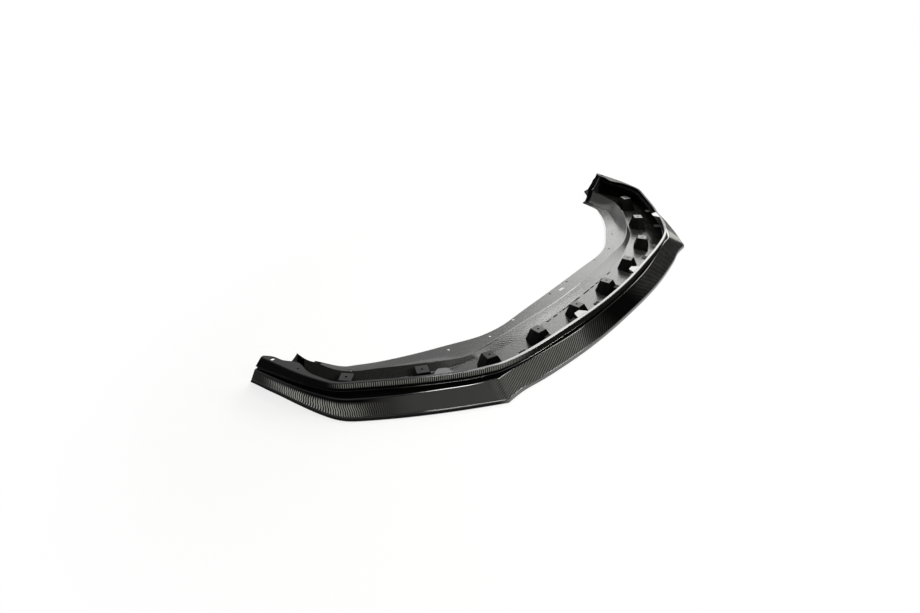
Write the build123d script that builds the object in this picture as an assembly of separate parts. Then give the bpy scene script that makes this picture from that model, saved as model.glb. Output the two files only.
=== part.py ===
from build123d import *
from itertools import accumulate
from math import hypot
import os

# Front splitter lip: a gloss outer skin bonded along its rim to a flat tray.
# The frame is +Z up with the ground at z = 0, the car's nose towards -Y and the centre line at x = 0.

# Laminate and bond
WALL = 3.5
BOND_GAP = 0.2

# Heights of the outer skin's edge lines at the centre of the nose
RIM_HEIGHT = 12.0
CREST_HEIGHT = 35.0
GROOVE_HEIGHT = 9.0
STRIP_HEIGHT = 23.0
RISE = 0.05
CREST_RISE_END = 64.0
STRIP_LOW_RISE_END = 104.0

# Section of the outer skin
RIM_DRAFT = 1.0
GROOVE_DEPTH = 8.0
SKIN_DROP = 4.0
STRIP_FLARE = 12.0
FLARE_START = 60.0
FLANGE_WIDTH = 9.0

# Raked wing ends, where the lip meets the wheel arch
END_FOOT_Y = 332.0
END_RAKE = 26.8

# Plan of one half as (x, y): from the centre to the pointed corner, then along the side to past the wing end
STRIP_PLAN = [(0, -278), (140, -274), (270, -263), (380, -252), (460, -241), (520, -229), (560, -217),
              (616, -187), (690, -135), (784, -57), (863, 15), (904, 60), (918, 100), (930, 145),
              (938, 190), (943, 228), (947, 258), (950, 284), (958, 364)]
CREST_PLAN = [(0, -278), (140, -276), (270, -267), (380, -251), (465, -237), (525, -227), (577, -223),
              (632, -193), (706, -143), (803, -70), (881, -1), (915, 41), (929, 82), (940, 130),
              (948, 180), (953, 222), (956, 254), (959, 284), (967, 364)]
RIM_PLAN = [(0, -332), (145, -330), (285, -321), (400, -307), (485, -293), (550, -281), (608, -279),
            (655, -243), (730, -183), (825, -99), (893, -31), (928, 17), (942, 69), (950, 135),
            (954, 185), (957, 226), (960, 256), (962, 284), (969, 364)]
CORNER = 6
# How much wider than FLANGE_WIDTH the top flange is at each station: only along the wing
FLANGE_EXTRA = [0] * 12 + [3, 11, 27, 13, 12, 0, 0]

# Wing flange holes: where each lies along the wing and how far inside the strip
WING_HOLE_Y = 254.0
WING_HOLE_INSET = 10.5
WING_HOLE_RADIUS = 6.0
CLIP_HOLE_Y = 172.0
CLIP_HOLE_INSET = 14.8
CLIP_HOLE_RADIUS = 2.5

# Clip tabs by their x on one half, and the edge line in skin_lines that they hang from
TAB_X = [70, 210, 335, 450, 634, 750]
TAB_LINE = 11
TAB_WIDTH = 24.0
TAB_REACH = 14.0
TAB_GUSSET = 16.0

# Tray, one half as (x, y): foot of the ramp, crease that rises into the arch ridge, free rear edge
FLANGE_RISE = 10.5
RAMP_PLAN = [(0, -146), (115, -145), (235, -142), (350, -129), (430, -114), (500, -93), (566, -69),
             (628, -35), (696, 10), (760, 61), (817, 124), (838, 182), (844, 210), (850, 233),
             (854, 250), (860, 268)]
CREASE_PLAN = [(0, -113), (110, -110), (216, -101), (340, -92), (420, -86), (500, -76), (560, -57),
               (622, -26), (690, 18), (752, 68), (808, 129), (828, 185), (834, 212), (840, 234),
               (844, 250), (848, 268)]
REAR_PLAN = [(0, -59), (110, -59), (220, -58), (330, -56), (400, -42), (460, -17), (520, 13),
             (570, 38), (637, 79), (697, 123), (741, 161), (767, 192), (777, 220), (783, 240),
             (787, 252), (791, 264)]
# The rear flange sinks to the floor's level between these x
RISE_FADE_START = 540.0
RISE_FADE_END = 790.0
# Height of the crease over the floor at each station, up to the ridge round the arch
RIDGE_HEIGHT = [FLANGE_RISE] * 5 + [11, 17.5, 27.5, 35, 37, 34.5, 39.5, 42, 43, 48, 57]
# Cove behind the ridge: its lines as shares of the way to the rear edge, where it runs out, and its curve
COVE_SHARES = [0.0, 0.06, 0.13, 0.22, 0.33, 0.47, 0.62, 1.0]
COVE_END = 0.62
COVE_POWER = 1.8

# Web across the trough at the wing end
WEB_DIP = 39.5
WEB_DIP_REACH = 24.0
WEB_RISE = 84.0
WEB_CLEARANCE = 1.0

# Mounting towers: x, y and turn about Z of each on one half
TOWERS = [(103, -196, 2), (307, -178, 9), (508, -143, 22), (683, -45, 38), (838, 84, 58)]
TOWER_TOP = 41.0
TOWER_BASE_WIDTH = 80.0
TOWER_BASE_BACK = 46.0
TOWER_BASE_FRONT = 29.0
TOWER_BASE_REAR = 28.0
TOWER_PLATE = 34.0
TOWER_CAP = 9.0
TOWER_EAR = 5.0
TOWER_HOLE_RADIUS = 3.5

# Holes in the rear flange as (x, y), and the slot on the centre line
REAR_HOLES = [(56, -71), (270, -66), (393, -64), (526, -11), (763, 150)]
REAR_HOLE_RADIUS = 3.5
SLOT_Y = -83.5
SLOT_LENGTH = 30.0
SLOT_WIDTH = 9.0

# Long enough to pass through any wall of the lip
THROUGH = 200.0


def moved_in(plan, distance):
    """Moves plan points inwards along the local normal by one distance or by one per point."""
    steps = distance if isinstance(distance, list) else [distance] * len(plan)
    legs = [(b[0] - a[0], b[1] - a[1]) for a, b in zip(plan, plan[1:])]
    units = [(dx / hypot(dx, dy), dy / hypot(dx, dy)) for dx, dy in legs]
    before = [(1, 0)] + units[:-1] + [(0, 1)]
    after = [(1, 0)] + units[1:] + [(0, 1)]
    out = []
    for (x, y), (ax, ay), (bx, by), step in zip(plan, before, after, steps):
        tx, ty = ax + bx, ay + by
        scale = 2 * step / (tx * tx + ty * ty)
        out.append((x - ty * scale, y + tx * scale))
    return out


def at_height(plan, height, rise=0.0, rise_end=END_FOOT_Y):
    """Lifts plan points to a height at the nose that rises towards the wings."""
    nose_y = STRIP_PLAN[0][1]
    return [(x, y, height + rise * (min(y, rise_end) - nose_y)) for x, y in plan]


def mirrored(points):
    """Returns the points of the other half, from its wing end to the centre."""
    return [(-p[0], *p[1:]) for p in reversed(points)]


def curve(points, stations):
    """Makes a spline through points, with its parameter set by the matching stations of a plan."""
    steps = [hypot(b[0] - a[0], b[1] - a[1]) for a, b in zip(stations, stations[1:])]
    return Edge.make_spline(points, parameters=list(accumulate(steps, initial=0.0)))


def spans(points):
    """Splits an edge line of the skin at the corners into a left side, a nose and a right side."""
    nose, nose_plan = [mirrored(half[1:CORNER + 1]) + half[:CORNER + 1] for half in (points, STRIP_PLAN)]
    side, side_plan = [half[CORNER:] for half in (points, STRIP_PLAN)]
    left = curve(mirrored(side), mirrored(side_plan))
    return [left, curve(nose, nose_plan), curve(side, side_plan)]


def across(points):
    """Makes an edge line of the tray from wing end to wing end."""
    return curve(mirrored(points[1:]) + points, mirrored(CREASE_PLAN[1:]) + CREASE_PLAN)


def solid_of(faces):
    """Sews faces into one closed solid."""
    return Solid(Shell(faces))


def flat_face(corners):
    """Makes a plane face from its corners."""
    return Face(Wire.make_polygon(corners, close=True))


def skin_lines():
    """Lists the edge lines of the skin's section, round from the foot of the rim."""
    crest_z = CREST_HEIGHT
    strip_low_z = crest_z + GROOVE_HEIGHT
    strip_top_z = strip_low_z + STRIP_HEIGHT
    wing_y = STRIP_PLAN[-1][1]
    flare = [-STRIP_FLARE * max(0, y - FLARE_START) / (wing_y - FLARE_START) for _, y in STRIP_PLAN]
    strip_low = moved_in(STRIP_PLAN, flare)
    groove = moved_in(strip_low, GROOVE_DEPTH)
    flange = moved_in(STRIP_PLAN, [FLANGE_WIDTH + extra for extra in FLANGE_EXTRA])
    crest = (RISE, CREST_RISE_END)
    low = (RISE, STRIP_LOW_RISE_END)
    return [
        at_height(RIM_PLAN, 0),
        at_height(moved_in(RIM_PLAN, RIM_DRAFT), RIM_HEIGHT),
        at_height(CREST_PLAN, crest_z, *crest),
        at_height(groove, crest_z, *crest),
        at_height(groove, strip_low_z, *low),
        at_height(strip_low, strip_low_z, *low),
        at_height(STRIP_PLAN, strip_top_z, RISE),
        at_height(flange, strip_top_z, RISE),
        at_height(flange, strip_top_z - WALL, RISE),
        at_height(moved_in(STRIP_PLAN, WALL), strip_top_z - WALL, RISE),
        at_height(moved_in(strip_low, WALL), strip_low_z + WALL, *low),
        at_height(moved_in(groove, WALL), strip_low_z + WALL, *low),
        at_height(moved_in(groove, WALL), crest_z - SKIN_DROP, *crest),
        at_height(moved_in(CREST_PLAN, WALL), crest_z - SKIN_DROP, *crest),
        at_height(moved_in(RIM_PLAN, WALL), RIM_HEIGHT - SKIN_DROP),
        at_height(moved_in(RIM_PLAN, WALL), 0),
    ]


def end_cutter():
    """Makes the block behind the raked plane of the wing ends."""
    width = 2 * (STRIP_PLAN[-1][0] + THROUGH)
    block = Box(width, THROUGH, 2 * THROUGH, align=(Align.CENTER, Align.MIN, Align.CENTER))
    return Pos(0, END_FOOT_Y, 0) * Rot(END_RAKE, 0, 0) * block


def both_sides(places):
    """Repeats (x, y, ...) places on the other half, turning any angle round too."""
    return list(places) + [(-p[0], p[1], *[-turn for turn in p[2:]]) for p in places]


def drill(places, radius):
    """Makes upright drills at plan places on both halves."""
    return [Pos(x, y, 0) * Cylinder(radius, THROUGH) for x, y in both_sides(places)]


def point_at(line, axis, value):
    """Finds where a line of points reaches a value on one axis."""
    for a, b in zip(line, line[1:]):
        if a[axis] <= value <= b[axis]:
            share = (value - a[axis]) / (b[axis] - a[axis])
            return [p + share * (q - p) for p, q in zip(a, b)]


def wing_hole(y, inset):
    """Places a hole in the wing flange, inside the strip."""
    return point_at(STRIP_PLAN, 1, y)[0] - inset, y


def clip_tab(back, x):
    """Makes one clip tab with its gusset, standing on the back of the skin."""
    foot = point_at(back, 0, x)
    ahead = point_at(back, 0, x + TAB_WIDTH)
    heading = Vector(ahead[0] - foot[0], ahead[1] - foot[1], 0)
    turn = Vector(1, 0, 0).get_signed_angle(heading, Vector(0, 0, 1))
    hung = (Align.CENTER, Align.MIN, Align.MAX)
    plate = Box(TAB_WIDTH, WALL / 2 + TAB_REACH, WALL, align=hung)
    gusset = Polyline((0, 0), (TAB_REACH, 0), (0, -TAB_GUSSET), close=True)
    rib = extrude(Plane.YZ * make_face(gusset), WALL / 2, both=True)
    root = Box(WALL, WALL / 2, TAB_GUSSET, align=hung)
    tab = plate + Pos(0, WALL / 2, 0) * rib + root
    return Pos(*foot) * Rot(0, 0, turn) * Pos(0, -WALL / 2, 0) * tab


def outer_lip():
    """Makes the gloss skin: rim, blade, groove, strip and top flange in one wall."""
    lines = skin_lines()
    edges = [spans(line) for line in lines]
    faces = []
    for near, far in zip(edges, edges[1:] + edges[:1]):
        faces += [Face.make_surface_from_curves(a, b) for a, b in zip(near, far)]
    faces.append(flat_face([line[-1] for line in lines]))
    faces.append(flat_face([mirrored(line)[0] for line in lines]))
    lip = solid_of(faces) - end_cutter()
    for x in TAB_X:
        tab = clip_tab(lines[TAB_LINE], x)
        lip += [tab, mirror(tab, about=Plane.YZ)]
    lip -= drill([wing_hole(WING_HOLE_Y, WING_HOLE_INSET)], WING_HOLE_RADIUS)
    return lip - drill([wing_hole(CLIP_HOLE_Y, CLIP_HOLE_INSET)], CLIP_HOLE_RADIUS)


def floor_heights(plan):
    """Gives the flange's top height at each point: raised at the rear centre, on the ground at the arches."""
    span = RISE_FADE_END - RISE_FADE_START
    out = []
    for x, y in plan:
        share = min(1, max(0, (RISE_FADE_END - x) / span))
        out.append((x, y, WALL + FLANGE_RISE * share * share * (3 - 2 * share)))
    return out


def ridge_slopes():
    """Gives the rise over run of the ramp's front face at each crease station, with the rise itself."""
    runs = [hypot(a[0] - b[0], a[1] - b[1]) for a, b in zip(RAMP_PLAN, CREASE_PLAN)]
    return [(rise, rise / run) for rise, run in zip(RIDGE_HEIGHT, runs)]


def back_lines():
    """Lists the top and underside lines from the ramp's foot over the ridge to the rear edge."""
    slopes = ridge_slopes()
    shift = [WALL * slope / hypot(1, slope) for _, slope in slopes]
    top = [[(x, y, WALL) for x, y in RAMP_PLAN]]
    under = [[(x, y, 0) for x, y in moved_in(RAMP_PLAN, shift)]]
    rear = floor_heights(REAR_PLAN)
    for share in COVE_SHARES:
        left = max(0, 1 - share / COVE_END)
        line = []
        drops = []
        for (cx, cy), (rx, ry, rz), (rise, slope) in zip(CREASE_PLAN, rear, slopes):
            z = rz + (WALL + rise - rz) * left ** COVE_POWER
            line.append((cx + share * (rx - cx), cy + share * (ry - cy), z))
            drops.append(WALL * (1 + (hypot(1, slope) - 1) * left ** 4))
        top.append(line)
        under.append([(x, y, z - drop) for (x, y, z), drop in zip(line, drops)])
    return top, under


def tray_sheet():
    """Makes the tray's laminate: flat floor, ramp behind the towers, arch ridges and rear flange."""
    rim = moved_in(RIM_PLAN, WALL + BOND_GAP)

    def faces_of(lines, floor_z):
        """Makes the faces and border edges of the top or the underside."""
        rim_edges = spans([(x, y, floor_z) for x, y in rim])
        edges = [across(line) for line in lines]
        ends = [edge @ 0 for edge in edges], [edge @ 1 for edge in edges]
        closing = [Edge.make_line(ends[1][0], rim_edges[2] @ 1), Edge.make_line(rim_edges[0] @ 0, ends[0][0])]
        floor = Face(Wire([edges[0], closing[0], *rim_edges, closing[1]]))
        panels = [floor] + [Face.make_surface_from_curves(a, b) for a, b in zip(edges, edges[1:])]
        crossings = [Edge.make_line(a, b) for side in ends for a, b in zip(side, side[1:])]
        return panels, rim_edges + closing + [edges[-1]] + crossings

    top_lines, under_lines = back_lines()
    top_faces, top_border = faces_of(top_lines, WALL)
    under_faces, under_border = faces_of(under_lines, 0)
    sides = [Face.make_surface_from_curves(a, b) for a, b in zip(top_border, under_border)]
    return solid_of(top_faces + under_faces + sides)


def end_web():
    """Makes the right-hand web that closes the trough at the wing end, with its scooped top."""
    arch_x, arch_y = CREASE_PLAN[-1]
    rise, slope = ridge_slopes()[-1]
    foot = WALL / 2
    toe = RAMP_PLAN[-1][0] - foot
    crown = (arch_x + WALL / slope, rise)
    outer = point_at(moved_in(STRIP_PLAN, WALL), 1, arch_y)[0] - WEB_CLEARANCE
    brow = WALL + WEB_RISE
    scoop = Spline(crown, (arch_x + WEB_DIP_REACH, WALL + WEB_DIP), (outer - WALL, brow))
    border = Polyline(scoop @ 1, (outer, brow), (outer, foot), (toe, foot), scoop @ 0)
    return Pos(0, arch_y, 0) * extrude(Plane.XZ * make_face([border, scoop]), WALL)


def tower_ring(height, widen, shrink):
    """Makes the six-sided level section of a tower, from plate (0) to base (1) size."""
    plate = TOWER_PLATE / 2
    half_front = plate + widen * (TOWER_BASE_WIDTH / 2 - plate) - shrink
    half_back = plate + widen * (TOWER_BASE_BACK / 2 - plate) - shrink
    front = -(plate + widen * (TOWER_BASE_FRONT - plate)) + shrink
    rear = plate + widen * (TOWER_BASE_REAR - plate) - shrink
    ring = Polyline((-half_front, front), (half_front, front), (half_front, 0), (half_back, rear),
                    (-half_back, rear), (-half_front, 0), close=True)
    return Pos(0, 0, height) * make_face(ring)


def tower_top(y):
    """Gives the height of a tower's plate, which climbs with the strip."""
    return TOWER_TOP + RISE * (y - TOWERS[0][1])


def tower_body(x, y, turn):
    """Makes a tower's outside with its two ears, standing in the floor."""
    top = tower_top(y)
    body = loft([tower_ring(WALL / 2, 1, 0), tower_ring(top, 0, 0)], ruled=True)
    ear_block = Box(WALL, TOWER_PLATE / 2, TOWER_EAR + WALL, align=(Align.CENTER, Align.CENTER, Align.MIN))
    ear_x = (TOWER_PLATE - WALL) / 2
    for side in (-1, 1):
        body += Pos(side * ear_x, 0, top - WALL) * ear_block
    return Pos(x, y, 0) * Rot(0, 0, turn) * body


def tower_pocket(x, y, turn):
    """Makes a tower's hollow, open below, and its screw hole."""
    top = tower_top(y)
    roof = top - TOWER_CAP
    hollow = loft([tower_ring(0, 1, WALL), tower_ring(roof, TOWER_CAP / top, WALL)], ruled=True)
    hole = Cylinder(TOWER_HOLE_RADIUS, THROUGH)
    return Pos(x, y, 0) * Rot(0, 0, turn) * (hollow + hole)


def inner_tray():
    """Makes the tray with its end webs, mounting towers and holes."""
    web = end_web()
    tray = tray_sheet() - end_cutter()
    tray += [web, mirror(web, about=Plane.YZ)]
    places = both_sides(TOWERS)
    tray += [tower_body(*place) for place in places]
    tray -= [tower_pocket(*place) for place in places]
    tray -= drill(REAR_HOLES, REAR_HOLE_RADIUS)
    slot = extrude(SlotOverall(SLOT_LENGTH, SLOT_WIDTH), THROUGH, both=True)
    return tray - Pos(0, SLOT_Y, 0) * slot


os.makedirs("parts", exist_ok=True)
export_step(outer_lip(), "parts/outer_lip.step")
export_step(inner_tray(), "parts/inner_tray.step")
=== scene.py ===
"""Front splitter lip: a gloss carbon skin around a satin carbon tray with its mounting towers."""
import math
import bmesh
import bpy
import numpy as np
from bmesh.types import BMEdge, BMFace, BMVert
from mathutils import Matrix, Vector


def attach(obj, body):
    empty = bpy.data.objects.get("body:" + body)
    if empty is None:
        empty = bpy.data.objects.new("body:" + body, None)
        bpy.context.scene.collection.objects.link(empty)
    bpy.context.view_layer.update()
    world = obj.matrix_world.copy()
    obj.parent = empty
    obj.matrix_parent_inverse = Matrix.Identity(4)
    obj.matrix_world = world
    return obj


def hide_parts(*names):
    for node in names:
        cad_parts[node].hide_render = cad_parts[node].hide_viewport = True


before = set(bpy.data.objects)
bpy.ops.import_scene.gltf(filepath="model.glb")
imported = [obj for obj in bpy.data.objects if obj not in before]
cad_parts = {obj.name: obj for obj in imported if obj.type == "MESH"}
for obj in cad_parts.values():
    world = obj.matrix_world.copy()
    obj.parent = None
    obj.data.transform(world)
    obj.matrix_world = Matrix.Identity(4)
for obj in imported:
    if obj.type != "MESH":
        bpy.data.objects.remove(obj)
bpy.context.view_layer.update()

MM = 0.001

# The lip's own sizes, in millimetres
WALL = 3.5
RIM_HEIGHT = 12.0
CREST_HEIGHT = 35.0
GROOVE_HEIGHT = 9.0
STRIP_HEIGHT = 23.0
RIM_DRAFT = 1.0
GROOVE_DEPTH = 8.0
SKIN_DROP = 4.0
# Climb per millimetre towards the wings, and the y at which the crest and the strip's foot stop climbing
RISE = 0.05
CREST_RISE_END = 64.0
STRIP_LOW_RISE_END = 104.0
# The strip's foot spreads outwards along the wing, from this y on
STRIP_FLARE = 12.0
FLARE_START = 60.0
# Top flange, and how much wider it is at each station
FLANGE_WIDTH = 9.0
FLANGE_EXTRA = [0] * 12 + [3, 11, 27, 13, 12, 0, 0]
# Wing end: where its cut meets the ground, and the lean of the cut in degrees
END_FOOT_Y = 332.0
END_RAKE = 26.8

# Plan of one half, from the centre to the pointed corner and along the side past the wing end
CORNER = 6
STRIP_PLAN = [(0, -278), (140, -274), (270, -263), (380, -252), (460, -241), (520, -229), (560, -217),
              (616, -187), (690, -135), (784, -57), (863, 15), (904, 60), (918, 100), (930, 145),
              (938, 190), (943, 228), (947, 258), (950, 284), (958, 364)]
CREST_PLAN = [(0, -278), (140, -276), (270, -267), (380, -251), (465, -237), (525, -227), (577, -223),
              (632, -193), (706, -143), (803, -70), (881, -1), (915, 41), (929, 82), (940, 130),
              (948, 180), (953, 222), (956, 254), (959, 284), (967, 364)]
RIM_PLAN = [(0, -332), (145, -330), (285, -321), (400, -307), (485, -293), (550, -281), (608, -279),
            (655, -243), (730, -183), (825, -99), (893, -31), (928, 17), (942, 69), (950, 135),
            (954, 185), (957, 226), (960, 256), (962, 284), (969, 364)]

# Tray on one half: foot of the ramp, crease that rises into the arch ridge, free rear edge
BOND_GAP = 0.2
FLANGE_RISE = 10.5
RAMP_PLAN = [(0, -146), (115, -145), (235, -142), (350, -129), (430, -114), (500, -93), (566, -69),
             (628, -35), (696, 10), (760, 61), (817, 124), (838, 182), (844, 210), (850, 233),
             (854, 250), (860, 268)]
BEND_STATION = 5
CREASE_PLAN = [(0, -113), (110, -110), (216, -101), (340, -92), (420, -86), (500, -76), (560, -57),
               (622, -26), (690, 18), (752, 68), (808, 129), (828, 185), (834, 212), (840, 234),
               (844, 250), (848, 268)]
REAR_PLAN = [(0, -59), (110, -59), (220, -58), (330, -56), (400, -42), (460, -17), (520, 13),
             (570, 38), (637, 79), (697, 123), (741, 161), (767, 192), (777, 220), (783, 240),
             (787, 252), (791, 264)]
# The rear flange sinks to the floor's level between these x
RISE_FADE = (540.0, 790.0)
# Height of the crease over the floor at each station, up to the ridge round the arch
RIDGE_HEIGHT = [FLANGE_RISE] * 5 + [11, 17.5, 27.5, 35, 37, 34.5, 39.5, 42, 43, 48, 57]
# Cove behind the ridge: its lines as shares of the way to the rear edge, where it runs out, and its curve
COVE_SHARES = [0.0, 0.06, 0.13, 0.22, 0.33, 0.47, 0.62, 1.0]
COVE_END = 0.62
COVE_POWER = 1.8
# How fast the underside's allowance for the ramp's lean runs out behind the crease
LEAN_POWER = 4
# Webs at the wing ends: low point of the scoop, its way from the arch, height at the strip
WEB_DIP = 39.5
WEB_DIP_REACH = 24.0
WEB_RISE = 84.0
WEB_CLEARANCE = 1.0
SCOOP_POINTS = 24
# Past this y the tray's tip is painted black, painted shade at the wing ends
SHADED_TIP_START = 243.0

# Towers: x, y and turn of each on one half, and their sizes
TOWERS = [(103, -196, 2), (307, -178, 9), (508, -143, 22), (683, -45, 38), (838, 84, 58)]
TOWER_TOP = 41.0
TOWER_BASE_WIDTH = 80.0
TOWER_BASE_BACK = 46.0
TOWER_BASE_FRONT = 29.0
TOWER_BASE_REAR = 28.0
TOWER_PLATE = 34.0
TOWER_CAP = 9.0
TOWER_EAR = 5.0
# Outline of an ear beside the plate: along the plate's side, and over its level
EAR_OUTLINE = [(-9, -2), (9, -2), (6, TOWER_EAR), (-2, TOWER_EAR - 1)]
TOWER_HOLE_RADIUS = 3.5
TOWER_DRILL_LENGTH = 60.0
HOLLOW_FOOT = -1.0

# Holes and slot in the rear flange
REAR_HOLES = [(56, -71), (270, -66), (393, -64), (526, -11), (763, 150)]
REAR_HOLE_RADIUS = 3.5
SLOT_Y = -83.5
SLOT_LENGTH = 30.0
SLOT_WIDTH = 9.0
# Rear holes between these x, and the slot, widen downwards by this much; the others are straight
RELIEVED_HOLES = (-600, -200)
HOLE_RELIEF = 4.0
# How far a drill stands out of the flange at both ends
DRILL_OVER = 1.5
DRILL_SIDES = 28
FLANGE_DRILL_SIDES = 32

# Holes in the wing's top flange: x, y and radius, and the drills' middle height and length
WING_HOLES = [(936, 254, 6.0), (920, 172, 2.5)]
WING_DRILL_HEIGHT = 90.0
WING_DRILL_LENGTH = 20.0

# Clip tabs behind the strip and clip plates on the top flange, with how far each is sunk into the skin
TAB_X = [70, 210, 335, 450, 634, 750]
TAB_WIDTH = 24.0
TAB_REACH = 22.0
TAB_SINK = 1.0
TAB_GUSSET = 16.0
GUSSET_SHORT = 2.0
GUSSET_SINK = 0.5
GUSSET_TOP = -1.0
PLATE_X = [190, 688]
PLATE_WIDTH = 54.0
PLATE_TIP = 24.0
PLATE_REACH = 22.0
PLATE_SINK = 1.0

# Rounded edges, in millimetres
CREST_BEAD = 2.3
RIM_BEAD = 1.9
SKIN_EDGE = 1.5
CREASE_EDGE = 3.0
LAMINATE_EDGE = 0.9
TAB_EDGE = 0.5
WEB_EDGE = 0.8
TOWER_EDGE = 1.4
# An edge is rounded where its faces turn by more than this, in radians
SKIN_HARD = 0.3
WEB_HARD = 0.6
TOWER_HARD = 0.25
# An edge stays sharp to the light where its faces turn by more than this, in degrees
SHARP_ANGLE = 35
FACE_WEIGHT = 100

# Spacing of the rows along skin and tray, in millimetres, and in metres the reach within which points join
SKIN_SPACING = 14
TRAY_SPACING = 10
JOIN_REACH = 1e-6
HALVES_JOIN = 1e-5
HALVES_APART = -1

# Edge lines round the skin's section, by their place in skin_lines
RIM_LINE = 1
CREST_LINE = 2
STRIP_TOP_LINE = 6
FLANGE_LINE = 7
TAB_LINE = 11
# Finishes of the skin by number, and the bands of its section that aren't plain gloss
BLADE_CLOTH, STRIP_CLOTH, PLAIN_GLOSS, FLANGE_GLOSS, EDGE_GLOSS, RIM_GLOSS, RIM_EDGE_GLOSS = range(7)
BAND_FINISH = {0: RIM_GLOSS, 1: BLADE_CLOTH, 5: STRIP_CLOTH, 6: FLANGE_GLOSS}
# Lines of the tray's wrap, and finishes of the tray, the tabs and the towers by number
FOOT_LINE = 1
CREASE_LINE = 2
# The tray's black finish is painted shade, on its tip at the wing ends and on the walls of the rear holes
TRAY_SATIN, TRAY_PAINTED_SHADE, TRAY_CREASE = range(3)
TAB_PLATE = 1
TOWER_CAP_PLATE = 1

# Cloth on the skin, in metres along it from the centre, round its section from the crest, less than 0 on the
# blade, or up from the strip's foot. Each pair says where a finish begins to show and shows in full.
NOSE_CLOTH = (0.6, 0.56)
NOSE_TOWS_FROM_CORNER = (0.6, 0.54)
NOSE_TOWS_FROM_CENTRE = (0.05, 0.22)
# The wing's tows show pale only where their sheen caught the light: painted sheen over the real weave
WING_TOWS_FROM_SIDE = (0.85, 1.11)
WING_TOWS_FROM_TIP = (1.25, 1.15)
# Just under the crest on the wing the tows stay black: a painted shade band below the crest
CREST_SHADE_BAND = (-0.007, -0.018)
PLAIN_CLOTH_FROM_CORNER = (0.54, 0.6)
PLAIN_CLOTH_FROM_WING = (0.95, 0.8)
PLAIN_CLOTH_AT_TIP = (1.08, 1.2)
# The strip's tows show pale only where their sheen caught the light: painted sheen over the real weave
STRIP_TOWS_FROM_NOSE = (0.42, 0.56)
STRIP_TOWS_FROM_WING = (1.03, 0.97)
STRIP_TOWS_FROM_FOOT = (0.005, 0.011)
COAT_PAST_CORNER = (0.55, 0.6)
COAT_ON_WING = (0.745, 0.81)
# Tows: width in metres, lean on the nose as a slope, steps on the wing by length in metres and swing in tows
NOSE_TOW = 0.0125
NOSE_LEAN = 1.75
WING_TOW = 0.0061
STEP_LENGTH = 0.0105
STEP_SWING = 0.33
STRIP_TOW = 0.0056
TRAY_TOW = 0.0028
# How sharply a tow's crown falls off to its sides, and the repeat of a twill with the tows that lie on top
BLADE_CROWN = 4
STRIP_CROWN = 5
TWILL_REPEAT = 4
TWILL_OVER = 1.5
# Cloth colours: resin between the tows, and tows in full light, which is painted sheen where they show pale
DEEP_BLACK = (0.001, 0.001, 0.001)
BLADE_TOWS_AND_SHEEN = (0.66, 0.66, 0.63)
STRIP_TOWS_AND_SHEEN = (0.3, 0.3, 0.285)
# How pale the cloth is: tows on the nose and what the wing adds as painted sheen, unevenness,
# plain cloth on the side, its share at the tip, and the strip on the nose
NOSE_PALE = 0.05
WING_TOW_SHEEN = 0.95
UNEVEN_SCALE = 35
UNEVEN_BASE = 0.4
PLAIN_PALE = 0.062
TIP_SHARE = 0.35
STRIP_NOSE_PALE = 0.025
# Lacquer: refractive index over cloth, haze, and roughness of what lies under it
LACQUER_INDEX = 1.5
LACQUER_HAZE = 0.03
BLADE_HAZE = 0.12
UNDER_LACQUER_ROUGH = 0.35
# Weight of the lacquer on the strip, on the blade as a mean and at least, and what tows and plain cloth add
STRIP_COAT = 0.05
BLADE_COAT_MEAN = 0.2
BLADE_COAT = 0.05
TOW_COAT = 0.54
PLAIN_COAT = 0.15
# Black laminate and moulded plastic: scale of the uneven tone and how far it strays, and height of the grain
FLOW_SCALE = 14
FLOW_SPREAD = 0.5
MOULDED_GRAIN = 420
MOULDED_SPREAD = 0.4
MOULDED_BUMP = 0.15
BUMP_HEIGHT = 0.0003

# Tray: colours of its cloth, dark and light tows on the floor and on the flange, then a paler painted light
# on steep faces, speckle and mottle
FLOOR_TOWS = ((0.006, 0.006, 0.006), (0.06, 0.06, 0.057))
FLANGE_TOWS = ((0.018, 0.02, 0.019), (0.04, 0.043, 0.041))
STEEP_PAINTED_LIGHT = (0.075, 0.077, 0.076)
SPECKLE = (0.012, 0.012, 0.011)
MOTTLE = (0.025, 0.026, 0.025)
SATIN_GRAIN = 210
SATIN_DETAIL = 3
SATIN_BUMP = 0.25
MOTTLE_SCALE = 9
MOTTLE_SHARE = 0.5
# The cloth shows where the surface faces up by these shares, steeper faces take the painted light; the
# flange begins at these heights in metres
LEVEL_SHARE = (0.75, 0.96)
FLANGE_HEIGHT = (0.005, 0.012)
# Roughness of the floor, and what the flange and the painted shade line add
FLOOR_ROUGH = 0.1
FLANGE_ROUGH = 0.14
SHADE_LINE_ROUGH = 0.9
# Painted shade line in the floor just before the ramp's foot: y on the centre line, bow, half width and end
# in metres, and gaps
SHADE_LINE_Y = -0.1515
SHADE_LINE_BOW = 0.0724
SHADE_LINE_HALF_WIDTH = (0.0032, 0.002)
SHADE_LINE_END = (0.25, 0.24)
SHADE_LINE_GAPS = (0.4, 0.58)
SHADE_LINE_GAP_SCALE = 34

# Studio, in metres: the floor lies just under the lip, and turns up into a wall all round
FLOOR_LEVEL = -0.0006
STUDIO_RADIUS = 40.0
STUDIO_WALL = 13.0
STUDIO_SIDES = 96
PAPER_TONE = 0.9
PAPER_ROUGH = 0.9
# Near the lip the paper keeps some of the shadow, on an oval with this narrowing and these radii
SHADOW_NARROWING = 0.62
SHADOW_FADE = (0.66, 1.05)
SHADOW_SHARE = 0.25
SKY_STRENGTH = 0.22
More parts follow.
